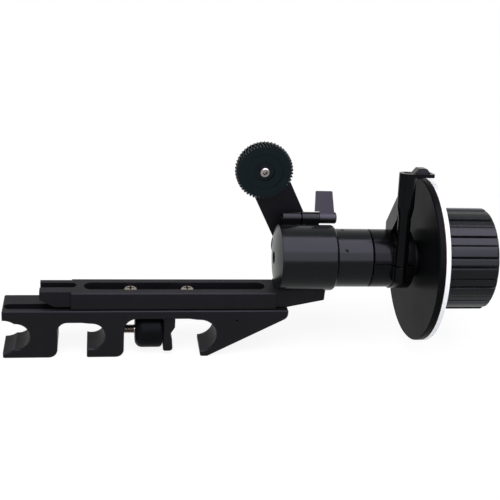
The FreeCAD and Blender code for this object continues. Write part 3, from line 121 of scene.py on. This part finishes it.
def anodised(name, look):
    material, tree, place = startFinish(name)
    patch = addNode(tree, "ShaderNodeTexNoise", {
        "Vector": place, "Scale": 1 / (look["patch"] * mm), "Detail": 3.0, "Roughness": 0.6})
    dye = addNode(tree, "ShaderNodeMix", {
        "Factor": patch.outputs["Fac"], "A": hexColour(look["dark"]),
        "B": hexColour(look["light"])}, data_type="RGBA")
    if "ring" in look:
        long = addNode(tree, "ShaderNodeMapping", {
            "Vector": place, "Scale": (1.0, ringStretch, ringStretch)})
        grain = addNode(tree, "ShaderNodeTexNoise", {
            "Vector": long.outputs["Vector"], "Scale": 1 / (look["ring"] * mm), "Detail": 2.0})
    else:
        grain = addNode(tree, "ShaderNodeTexNoise", {
            "Vector": place, "Scale": 1 / (look["grain"] * mm), "Detail": 2.0, "Roughness": 0.7})
    soft = addNode(tree, "ShaderNodeBevel", {"Radius": look["edge"] * mm}, samples=bevelSamples)
    bump = addNode(tree, "ShaderNodeBump", {
        "Height": grain.outputs["Fac"], "Distance": look["grainHeight"] * mm,
        "Normal": soft.outputs["Normal"]})
    true = addNode(tree, "ShaderNodeNewGeometry").outputs["Normal"]
    turn = addNode(tree, "ShaderNodeVectorMath", {0: soft.outputs["Normal"], 1: true},
                   operation="DOT_PRODUCT")
    edge = addNode(tree, "ShaderNodeMapRange", {
        "Value": turn.outputs["Value"], "From Min": rubbedEdge["starts"],
        "From Max": rubbedEdge["full"], "To Min": 0.0, "To Max": rubbedEdge["share"]})
    skin = addNode(tree, "ShaderNodeMix", {
        "Factor": edge.outputs["Result"], "A": dye.outputs["Result"],
        "B": hexColour(look["worn"])}, data_type="RGBA")
    rough = addNode(tree, "ShaderNodeMapRange", {
        "Value": patch.outputs["Fac"], "From Min": noiseSpan[0], "From Max": noiseSpan[1],
        "To Min": look["roughLow"], "To Max": look["roughHigh"]})
    shader = addNode(tree, "ShaderNodeBsdfPrincipled", {
        "Base Color": skin.outputs["Result"], "Roughness": rough.outputs["Result"],
        "Normal": bump.outputs["Normal"], "Specular IOR Level": look["specular"],
        "Specular Tint": hexColour(look["tint"])})
    endFinish(tree, shader.outputs["BSDF"])
    return material


# Acetal moulded and hobbed: a dull black with a hint of green, soft lights and no metal edge.
acetal = {
    "dark": "#04090a", "light": "#071012", "rough": 0.33, "specular": 0.12, "tint": "#d8efff",
    "grain": 0.35, "grainHeight": 0.008, "patch": 6.0, "edge": 0.12}


def mouldedAcetal(name, look):
    material, tree, place = startFinish(name)
    patch = addNode(tree, "ShaderNodeTexNoise", {
        "Vector": place, "Scale": 1 / (look["patch"] * mm), "Detail": 4.0, "Roughness": 0.6})
    colour = addNode(tree, "ShaderNodeMix", {
        "Factor": patch.outputs["Fac"], "A": hexColour(look["dark"]),
        "B": hexColour(look["light"])}, data_type="RGBA")
    grain = addNode(tree, "ShaderNodeTexNoise", {
        "Vector": place, "Scale": 1 / (look["grain"] * mm), "Detail": 3.0})
    soft = addNode(tree, "ShaderNodeBevel", {"Radius": look["edge"] * mm}, samples=bevelSamples)
    bump = addNode(tree, "ShaderNodeBump", {
        "Height": grain.outputs["Fac"], "Distance": look["grainHeight"] * mm,
        "Normal": soft.outputs["Normal"]})
    shader = addNode(tree, "ShaderNodeBsdfPrincipled", {
        "Base Color": colour.outputs["Result"], "Roughness": look["rough"],
        "Normal": bump.outputs["Normal"], "Specular IOR Level": look["specular"],
        "Specular Tint": hexColour(look["tint"])})
    endFinish(tree, shader.outputs["BSDF"])
    return material


# Stainless screws, machined and tumbled: a soft, slightly warm shine.
brightSteel = {
    "colour": "#8d8a86", "shade": "#6d6a66", "roughLow": 0.2, "roughHigh": 0.34,
    "mark": 0.3, "markHeight": 0.004, "recess": 1.0}

# Nickel plated steel, dulled by handling: a yellower grey than the stainless screws.
platedSteel = dict(brightSteel, colour="#8e877e", shade="#6c665f", roughHigh=0.32, recess=1.4)

# Black oxide on steel screws: nearly as dark as the anodising around them.
blackSteel = {
    "colour": "#1c1c1e", "shade": "#131315", "roughLow": 0.3, "roughHigh": 0.42,
    "mark": 0.3, "markHeight": 0.003}

# Ground steel shafts: light, cool and even.
groundSteel = {
    "colour": "#b5b7ba", "shade": "#83868a", "roughLow": 0.2, "roughHigh": 0.34,
    "mark": 0.25, "markHeight": 0.004}

# Bearing rings, ground and then lapped: the smoothest metal here.
racewaySteel = {
    "colour": "#a9adb3", "shade": "#777b82", "roughLow": 0.14, "roughHigh": 0.26,
    "mark": 0.4, "markHeight": 0.003}

# Brass with cut teeth: warm yellow, with the cutter's marks left on it.
cutBrass = {
    "colour": "#c9a45a", "shade": "#96743a", "roughLow": 0.22, "roughHigh": 0.36,
    "mark": 0.35, "markHeight": 0.005}

# Sintered bronze, pressed from powder: brown, dull and finely pitted.
sinteredBronze = {
    "colour": "#a8763f", "shade": "#73502c", "roughLow": 0.38, "roughHigh": 0.55,
    "mark": 0.2, "markHeight": 0.008}

# Every bare metal goes towards its shade in patches. Where a look gives a recess, a painted shade
# darkens what is closed in within that distance, such as the drive of a screw.
tarnish = {"patch": 3.0, "starts": 0.35, "full": 0.75, "share": 0.6}
# painted shade in hollows: its dark colour, the occlusion at which it is full and where it starts, its
# largest share, samples
recessShade = {"colour": "#17130f", "full": 0.45, "starts": 0.9, "share": 0.92, "samples": 8}


def bareMetal(name, look):
    material, tree, place = startFinish(name)
    marks = addNode(tree, "ShaderNodeTexNoise", {
        "Vector": place, "Scale": 1 / (look["mark"] * mm), "Detail": 3.0, "Roughness": 0.65})
    patch = addNode(tree, "ShaderNodeTexNoise", {
        "Vector": place, "Scale": 1 / (tarnish["patch"] * mm), "Detail": 2.0})
    share = addNode(tree, "ShaderNodeMapRange", {
        "Value": patch.outputs["Fac"], "From Min": tarnish["starts"],
        "From Max": tarnish["full"], "To Min": 0.0, "To Max": tarnish["share"]})
    colour = addNode(tree, "ShaderNodeMix", {
        "Factor": share.outputs["Result"], "A": hexColour(look["colour"]),
        "B": hexColour(look["shade"])}, data_type="RGBA")
    if "recess" in look:
        # painted shade: the colour goes dark where ambient occlusion finds the surface closed in
        exposed = addNode(tree, "ShaderNodeAmbientOcclusion", {"Distance": look["recess"] * mm},
                          samples=recessShade["samples"], only_local=True)
        paintedShade = addNode(tree, "ShaderNodeMapRange", {
            "Value": exposed.outputs["AO"], "From Min": recessShade["full"],
            "From Max": recessShade["starts"], "To Min": recessShade["share"], "To Max": 0.0})
        colour = addNode(tree, "ShaderNodeMix", {
            "Factor": paintedShade.outputs["Result"], "A": colour.outputs["Result"],
            "B": hexColour(recessShade["colour"])}, data_type="RGBA")
    rough = addNode(tree, "ShaderNodeMapRange", {
        "Value": marks.outputs["Fac"], "From Min": noiseSpan[0], "From Max": noiseSpan[1],
        "To Min": look["roughLow"], "To Max": look["roughHigh"]})
    bump = addNode(tree, "ShaderNodeBump", {
        "Height": marks.outputs["Fac"], "Distance": look["markHeight"] * mm})
    shader = addNode(tree, "ShaderNodeBsdfPrincipled", {
        "Base Color": colour.outputs["Result"], "Metallic": 1.0,
        "Roughness": rough.outputs["Result"], "Normal": bump.outputs["Normal"]})
    endFinish(tree, shader.outputs["BSDF"])
    return material


# White writing surface for focus marks: a matt laminate with a thin tan backing that shows
# as a warm line where it meets the black disc.
markingWhite = {
    "white": "#e6e8ec", "soiled": "#dcdee1", "soilStarts": 0.45, "soilFull": 0.8, "soilShare": 0.5,
    "backing": "#6b4a38", "backingEnd": 180.05, "rough": 0.42, "specular": 0.12,
    "patch": 5.0, "grain": 0.4, "grainHeight": 0.01}


def writingLaminate(name, look):
    material, tree, place = startFinish(name)
    patch = addNode(tree, "ShaderNodeTexNoise", {
        "Vector": place, "Scale": 1 / (look["patch"] * mm), "Detail": 4.0, "Roughness": 0.65})
    share = addNode(tree, "ShaderNodeMapRange", {
        "Value": patch.outputs["Fac"], "From Min": look["soilStarts"],
        "From Max": look["soilFull"], "To Min": 0.0, "To Max": look["soilShare"]})
    face = addNode(tree, "ShaderNodeMix", {
        "Factor": share.outputs["Result"], "A": hexColour(look["white"]),
        "B": hexColour(look["soiled"])}, data_type="RGBA")
    along = addNode(tree, "ShaderNodeSeparateXYZ", {"Vector": place}).outputs["X"]
    back = addNode(tree, "ShaderNodeMath", {0: along, 1: look["backingEnd"] * mm},
                   operation="LESS_THAN")
    colour = addNode(tree, "ShaderNodeMix", {
        "Factor": back.outputs["Value"], "A": face.outputs["Result"],
        "B": hexColour(look["backing"])}, data_type="RGBA")
    grain = addNode(tree, "ShaderNodeTexNoise", {
        "Vector": place, "Scale": 1 / (look["grain"] * mm), "Detail": 2.0})
    bump = addNode(tree, "ShaderNodeBump", {
        "Height": grain.outputs["Fac"], "Distance": look["grainHeight"] * mm})
    shader = addNode(tree, "ShaderNodeBsdfPrincipled", {
        "Base Color": colour.outputs["Result"], "Roughness": look["rough"],
        "Normal": bump.outputs["Normal"], "Specular IOR Level": look["specular"]})
    endFinish(tree, shader.outputs["BSDF"])
    return material


# Polyurethane tooth belt: dull charcoal with a woven back.
beltLook = {
    "dark": "#141414", "light": "#232323", "rough": 0.7,
    "cord": 0.7, "cordHeight": 0.05, "cordWander": 0.6}


def tractionBelt(name, look):
    material, tree, place = startFinish(name)
    cords = addNode(tree, "ShaderNodeTexWave", {
        "Vector": place, "Scale": 1 / (look["cord"] * mm * math.tau),
        "Distortion": look["cordWander"], "Detail": 1.0}, bands_direction="Y")
    colour = addNode(tree, "ShaderNodeMix", {
        "Factor": cords.outputs["Fac"], "A": hexColour(look["dark"]),
        "B": hexColour(look["light"])}, data_type="RGBA")
    bump = addNode(tree, "ShaderNodeBump", {
        "Height": cords.outputs["Fac"], "Distance": look["cordHeight"] * mm})
    shader = addNode(tree, "ShaderNodeBsdfPrincipled", {
        "Base Color": colour.outputs["Result"], "Roughness": look["rough"],
        "Normal": bump.outputs["Normal"]})
    endFinish(tree, shader.outputs["BSDF"])
    return material


finishes = {
    "anodised_black": anodised("blastedBlack", blastedBlack),
    "turned": anodised("turnedBlack", turnedBlack),
    "disc": anodised("discBlack", discBlack),
    "post": anodised("postBlack", postBlack),
    "dull": anodised("dullBlack", dullBlack),
    "lever": anodised("leverBlack", leverBlack),
    "knob_black": anodised("gripBlack", gripBlack),
    "end_cap_grey": anodised("capBlack", capBlack),
    "gear_acetal": mouldedAcetal("mouldedAcetal", acetal),
    "screw_steel": bareMetal("brightSteel", brightSteel),
    "plated": bareMetal("platedSteel", platedSteel),
    "screw_black": bareMetal("blackSteel", blackSteel),
    "shaft_steel": bareMetal("groundSteel", groundSteel),
    "bearing_steel": bareMetal("racewaySteel", racewaySteel),
    "bevel_brass": bareMetal("cutBrass", cutBrass),
    "bush_bronze": bareMetal("sinteredBronze", sinteredBronze),
    "belt_rubber": tractionBelt("tractionBelt", beltLook),
    "ring_white": writingLaminate("writingLaminate", markingWhite)}

# nodes whose finish differs from the common one of their slot
ownFinish = {
    "gearbox_housing": "turned", "neck_tube": "turned", "focus_disc": "disc", "clamp_knob": "dull",
    "pointer_carrier": "post", "pointer_block": "lever", "lock_lever": "lever",
    "slide_screws": "plated", "shoe_pins": "plated", "carrier_screw": "screw_black"}
for part in frame["record"]["subparts"]:
    node = part["node"]
    finish = finishes[ownFinish.get(node, part["material_slot"])]
    for holder in bpy.data.objects[node].material_slots:
        holder.material = finish


sharpAngle = 38  # degrees between two faces beyond which their edge stays sharp


def ringsToPiece(name, rings, body, finish, startPole=None, endPole=None):
    # rings is rows x columns x 3: each row is a closed ring about X, rows run along the profile;
    # a pole closes its end with a fan of triangles
    rows, columns, _ = rings.shape
    index = np.arange(rows * columns).reshape(rows, columns)
    across = np.roll(index, -1, axis=1)
    quads = np.stack([index[:-1], across[:-1], across[1:], index[1:]], axis=-1).reshape(-1, 4)
    points = rings.reshape(-1, 3)
    faces = quads.tolist()
    if startPole is not None:
        tip = np.full(columns, len(points))
        faces += np.stack([tip, across[0], index[0]], axis=-1).tolist()
        points = np.vstack([points, startPole])
    if endPole is not None:
        tip = np.full(columns, len(points))
        faces += np.stack([index[-1], across[-1], tip], axis=-1).tolist()
        points = np.vstack([points, endPole])
    mesh = bpy.data.meshes.new(name)
    mesh.from_pydata((points * mm).tolist(), [], faces)
    mesh.polygons.foreach_set("use_smooth", np.ones(len(mesh.polygons), dtype=bool))
    mesh.set_sharp_from_angle(angle=math.radians(sharpAngle))
    mesh.materials.append(finish)
    mesh.validate()
    piece = bpy.data.objects.new(name, mesh)
    bpy.context.scene.collection.objects.link(piece)
    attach(piece, body)
    return piece


# the rod clamp's screw: thread, plain shank in its knob, and a grooved tip that holds the shoe
clampThread = {
    "left": 9.6, "threadEnd": 23.2, "knobEnd": 38.5, "tip": 41.3, "z": -0.6,
    "radius": 2.5, "pitch": 0.8, "depth": 0.43, "flank": 1.35, "crest": 0.15,
    "runIn": 0.5, "runOut": 0.6, "shankGap": 0.2, "tipRadius": 2.0, "tipEdge": 0.2,
    "grooveRadius": 1.3, "groove": (40.1, 41.0), "columns": 48, "ringsPerTurn": 10}


def makeClampThread(look):
    # radius(x, a) = R - depth * v(frac(x / pitch - a / 2pi)), where v(p) is flank * |2p - 1| - crest
    # kept between 0 and 1: a vee whose crest and root are flat
    threadX = np.arange(look["left"], look["threadEnd"], look["pitch"] / look["ringsPerTurn"])
    grooveStart, grooveEnd = look["groove"]
    plain = [(look["threadEnd"] + look["shankGap"], look["radius"]), (look["knobEnd"], look["radius"]),
             (look["knobEnd"], look["tipRadius"]), (grooveStart, look["tipRadius"]),
             (grooveStart, look["grooveRadius"]), (grooveEnd, look["grooveRadius"]),
             (grooveEnd, look["tipRadius"]), (look["tip"] - look["tipEdge"], look["tipRadius"]),
             (look["tip"], look["tipRadius"] - look["tipEdge"])]
    angle = np.linspace(0, math.tau, look["columns"], endpoint=False)
    phase = (threadX[:, None] / look["pitch"] - angle[None, :] / math.tau) % 1.0
    vee = np.clip(look["flank"] * np.abs(2 * phase - 1) - look["crest"], 0, 1)
    # the first turn runs out into a chamfer and the last one into the plain shank
    startFade = np.clip((threadX - look["left"]) / look["runIn"], 0, 1)[:, None]
    endFade = np.clip((look["threadEnd"] - threadX) / look["runOut"], 0, 1)[:, None]
    radius = look["radius"] - look["depth"] * (vee * endFade * startFade + (1 - startFade))
    x = np.concatenate([threadX, [p[0] for p in plain]])
    radius = np.vstack([radius, np.repeat([[p[1]] for p in plain], look["columns"], axis=1)])
    rings = np.stack([np.repeat(x[:, None], look["columns"], axis=1),
                      radius * np.cos(angle), look["z"] + radius * np.sin(angle)], axis=-1)
    piece = ringsToPiece("clampThread", rings, "clamp_knob", finishes["plated"],
                         startPole=[look["left"], 0, look["z"]], endPole=[look["tip"], 0, look["z"]])
    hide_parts("clamp_screw")


# the focus knob: flutes with a narrow notch at each wall, a bore for the hub from the left, and
# from the right a recess for the end plate with the square crank socket in its floor
gripKnob = {
    "left": 182.6, "right": 216.3, "radius": 28.3, "endRound": 1.4, "leftRound": 0.3,
    "flutes": 15, "fluteWidth": 5.2, "fluteDepth": 0.8, "phase": 16.4,
    "notchHalf": 0.56, "notchDepth": 1.7, "notchStart": 0.6, "notchEnd": 1.9,
    "shoulder": 0.8, "shoulderDrop": 0.1,
    "boreRadius": 10.02, "boreEnd": 200.32, "backRadius": 24.0,
    "recessRadius": 20.02, "recessEdge": 0.3, "recessFloor": 213.9,
    "socketSide": 7.0, "socketFloor": 204.3,
    "root": 0.04, "lip": 0.1, "outside": 0.25, "floorColumns": 5, "landColumns": 7,
    "firstRing": 1.0, "bodyRings": 12, "endRings": 9}


def makeGripKnob(look):
    # outer radius(x, a) = min(P(x), G(a)) - D(x) * (d * v(s) + e(s)): P is the turned outline with its
    # rounded end, G the land or the flat floor of a flute, D the run-out of the notches at both ends,
    # and s the way along the rim from the nearest wall between land and flute; v = 1 - |s| / h is a
    # vee of half width h and depth d at that wall, and e rounds its lips off towards the shoulder
    half, lead, h = look["fluteWidth"] / 2, look["radius"], look["notchHalf"]
    step = math.tau / look["flutes"]
    edge = math.asin(half / lead)
    # columns on one side of a wall, closest together at the notch's root and lips
    side = np.array([look["root"], h / 2, h - look["lip"], h, h + look["lip"], h + look["outside"],
                     h + look["shoulder"]])
    way = np.concatenate([-side[::-1], side]) / lead
    near = np.concatenate([np.linspace(0, edge + way[0], look["floorColumns"])[:-1], edge + way,
                           np.linspace(edge + way[-1], step / 2, look["landColumns"])[1:]])
    local = np.concatenate([-near[:0:-1], near[:-1]])
    flute = np.arange(look["flutes"]) * step + math.radians(look["phase"])
    angle = (flute[:, None] + local[None, :]).ravel()
    offset = np.abs(np.tile(local, look["flutes"]))
    level = np.where(offset < edge, (lead - look["fluteDepth"]) / np.cos(offset), lead)
    fromWall = np.abs(offset - edge) * lead
    vee = np.clip(1 - fromWall / h, 0, 1)
    ease = look["shoulderDrop"] * np.clip(1 - np.abs(fromWall - h) / look["shoulder"], 0, 1) ** 2
    full = np.where(offset < edge, look["notchDepth"] - look["fluteDepth"], look["notchDepth"])
    depth = full * vee + ease
    square = look["socketSide"] / 2 / np.maximum(np.abs(np.cos(angle)), np.abs(np.sin(angle)))

    left, right, bend = look["left"], look["right"], look["endRound"]
    arc = np.linspace(0, math.pi / 2, look["endRings"])
    body = [(left, lead - look["leftRound"]), (left + look["leftRound"], lead)]
    body += [(x, lead) for x in np.linspace(left + look["firstRing"], right - bend, look["bodyRings"])]
    body += [(right - bend * (1 - math.sin(a)), lead - bend * (1 - math.cos(a))) for a in arc[1:]]
    outerX, outline = np.array(body).T
    run = np.clip((outerX - left) / look["notchStart"], 0, 1)
    run *= np.clip((right - outerX) / look["notchEnd"], 0, 1)
    outer = np.minimum(outline[:, None], level[None, :]) - np.sqrt(run)[:, None] * depth[None, :]

    ringOf = lambda r: np.full_like(angle, r)
    bore, recess, bevel = look["boreRadius"], look["recessRadius"], look["recessEdge"]
    stations = [(look["boreEnd"], ringOf(bore)), (left, ringOf(bore)),
                (left, ringOf(look["backRadius"]))]
    stations += list(zip(outerX, outer))
    stations += [(right, (recess + bevel + outer[-1]) / 2), (right, ringOf(recess + bevel)),
                 (right - bevel, ringOf(recess)), (look["recessFloor"], ringOf(recess)),
                 (look["recessFloor"], square), (look["socketFloor"], square)]
    x = np.array([s[0] for s in stations])
    radius = np.array([s[1] for s in stations])
    rings = np.stack([np.repeat(x[:, None], len(angle), axis=1),
                      radius * np.cos(angle), axisZ + radius * np.sin(angle)], axis=-1)
    piece = ringsToPiece("gripKnob", rings, "focus", finishes["knob_black"],
                         startPole=[look["boreEnd"], 0, axisZ], endPole=[look["socketFloor"], 0, axisZ])
    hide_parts("focus_knob")


makeClampThread(clampThread)
makeGripKnob(gripKnob)
print("thread and grip knob made")


# The floor is white to the eye: near the object it is a grey that takes the shadow, lifted by a
# glow, and it fades to plain white with the way from its middle. Floor sizes are in mm.
studio = {
    "floorZ": -12.9, "floorGap": 0.1, "floorSize": 3000.0, "floor": "#e4e4e2",
    "seenFloor": "#6c6c6b", "glow": 0.89, "middleX": 85.0, "fadeStart": 160.0, "fadeEnd": 340.0,
    "ambient": 0.32, "ambientColour": "#f4f5ff"}

# The first three lamps give the plain light on matt surfaces. The other two are wide softboxes
# that show only in glossy surfaces, as the long lights on barrel, tube and knob. Places and sizes
# are in metres.
lamps = {
    "overheadLamp": {"place": (0.03, -0.34, 0.62), "aim": (0.09, 0.0, 0.03), "size": (0.62, 0.46),
                     "radiance": 5.1, "colour": "#ffffff", "seenIn": "matt"},
    "sideLamp": {"place": (-0.62, -0.2, 0.3), "aim": (0.09, 0.0, 0.03), "size": (0.4, 0.5),
                 "radiance": 1.4, "colour": "#ffffff", "seenIn": "matt"},
    "knobLamp": {"place": (0.78, -0.16, 0.26), "aim": (0.16, 0.0, 0.04), "size": (0.4, 0.5),
                 "radiance": 3.6, "colour": "#ffffff", "seenIn": "matt"},
    "overheadSoftbox": {"place": (0.3, -0.25, 0.65), "aim": (0.3, -0.25, 0.0), "size": (1.1, 0.7),
                        "radiance": 8.2, "colour": "#f3e6ff", "seenIn": "gloss"},
    "frontSoftbox": {"place": (0.3, -0.86, 0.53), "aim": (0.3, 0.0, 0.043), "size": (1.1, 0.62),
                     "radiance": 5.0, "colour": "#f3e6ff", "seenIn": "gloss"}}


def seenBackground(tree):
    # 1 where the ray is one that should find the white background: camera, gloss or glass
    path = addNode(tree, "ShaderNodeLightPath")
    seen = path.outputs["Is Camera Ray"]
    for other in ("Is Glossy Ray", "Is Transmission Ray"):
        seen = addNode(tree, "ShaderNodeMath", {0: seen, 1: path.outputs[other]},
                       operation="MAXIMUM").outputs["Value"]
    return seen


def makeFloor(look):
    half = look["floorSize"] * mm / 2
    z = (look["floorZ"] - look["floorGap"]) * mm
    mesh = bpy.data.meshes.new("studioFloor")
    corners = [(-half, -half, z), (half, -half, z), (half, half, z), (-half, half, z)]
    mesh.from_pydata(corners, [], [(0, 1, 2, 3)])
    floor = bpy.data.objects.new("studioFloor", mesh)
    bpy.context.scene.collection.objects.link(floor)
    material, tree, place = startFinish("paleFloor")
    lit = addNode(tree, "ShaderNodeBsdfDiffuse", {"Color": hexColour(look["floor"])})
    dim = addNode(tree, "ShaderNodeBsdfDiffuse", {"Color": hexColour(look["seenFloor"])})
    white = addNode(tree, "ShaderNodeEmission", {"Strength": 1.0})
    lift = addNode(tree, "ShaderNodeEmission", {"Strength": look["glow"]})
    near = addNode(tree, "ShaderNodeAddShader", {0: dim.outputs["BSDF"], 1: lift.outputs["Emission"]})
    away = addNode(tree, "ShaderNodeVectorMath", {0: place, 1: (look["middleX"] * mm, 0.0, z)},
                   operation="DISTANCE")
    far = addNode(tree, "ShaderNodeMapRange", {
        "Value": away.outputs["Value"], "From Min": look["fadeStart"] * mm,
        "From Max": look["fadeEnd"] * mm}, interpolation_type="SMOOTHSTEP")
    seen = addNode(tree, "ShaderNodeMixShader", {
        "Fac": far.outputs["Result"], 1: near.outputs["Shader"], 2: white.outputs["Emission"]})
    both = addNode(tree, "ShaderNodeMixShader", {
        "Fac": seenBackground(tree), 1: lit.outputs["BSDF"], 2: seen.outputs["Shader"]})
    endFinish(tree, both.outputs["Shader"])
    mesh.materials.append(material)


def makeWorld(look):
    world = bpy.data.worlds.new("whiteStudio")
    world.use_nodes = True
    tree = world.node_tree
    tree.nodes.clear()
    fill = addNode(tree, "ShaderNodeBackground", {
        "Color": hexColour(look["ambientColour"]), "Strength": look["ambient"]})
    white = addNode(tree, "ShaderNodeBackground", {"Color": (1, 1, 1, 1), "Strength": 1.0})
    mix = addNode(tree, "ShaderNodeMixShader", {
        "Fac": seenBackground(tree), 1: fill.outputs["Background"], 2: white.outputs["Background"]})
    addNode(tree, "ShaderNodeOutputWorld", {"Surface": mix.outputs["Shader"]})
    bpy.context.scene.world = world


def makeLamp(name, look):
    lamp = bpy.data.lights.new(name, "AREA")
    lamp.shape = "RECTANGLE"
    lamp.size, lamp.size_y = look["size"]
    lamp.energy = look["radiance"] * math.pi * lamp.size * lamp.size_y
    lamp.color = hexColour(look["colour"])[:3]
    holder = bpy.data.objects.new(name, lamp)
    bpy.context.scene.collection.objects.link(holder)
    holder.visible_camera = False
    holder.visible_transmission = False
    holder.visible_diffuse = look["seenIn"] == "matt"
    holder.visible_glossy = look["seenIn"] == "gloss"
    place, aim = np.array(look["place"]), np.array(look["aim"])
    back = (place - aim) / np.linalg.norm(place - aim)
    right = np.cross([0, 1, 0.001], back)  # a touch of Z, so that a lamp may also aim along Y
    right /= np.linalg.norm(right)
    turn = np.eye(4)
    turn[:3, 0], turn[:3, 1], turn[:3, 2], turn[:3, 3] = right, np.cross(back, right), back, place
    holder.matrix_world = Matrix(turn.tolist())


# place in metres, angles in degrees, lens and sensor in mm
viewpoint = {
    "place": (0.00261, -0.48084, 0.26411), "azimuth": -9.68, "elevation": 23.96, "roll": 4.29,
    "lens": 70.97, "sensor": 36.0}


def makeCamera(look):
    a, e, r = np.radians([look["azimuth"], look["elevation"], look["roll"]])
    back = np.array([np.sin(a) * np.cos(e), -np.cos(a) * np.cos(e), np.sin(e)])
    right = np.cross([0, 0, 1], back)
    right /= np.linalg.norm(right)
    up = np.cross(back, right)
    turn = np.eye(4)
    turn[:3, 0] = np.cos(r) * right + np.sin(r) * up
    turn[:3, 1] = -np.sin(r) * right + np.cos(r) * up
    turn[:3, 2], turn[:3, 3] = back, look["place"]
    lens = bpy.data.cameras.new("viewCamera")
    lens.lens = look["lens"]
    lens.sensor_width = look["sensor"]
    camera = bpy.data.objects.new("viewCamera", lens)
    bpy.context.scene.collection.objects.link(camera)
    camera.matrix_world = Matrix(turn.tolist())
    bpy.context.scene.camera = camera


makeFloor(studio)
makeWorld(studio)
for name, look in lamps.items():
    makeLamp(name, look)
makeCamera(viewpoint)
bpy.context.scene.view_settings.view_transform = "Standard"
print("studio ready")
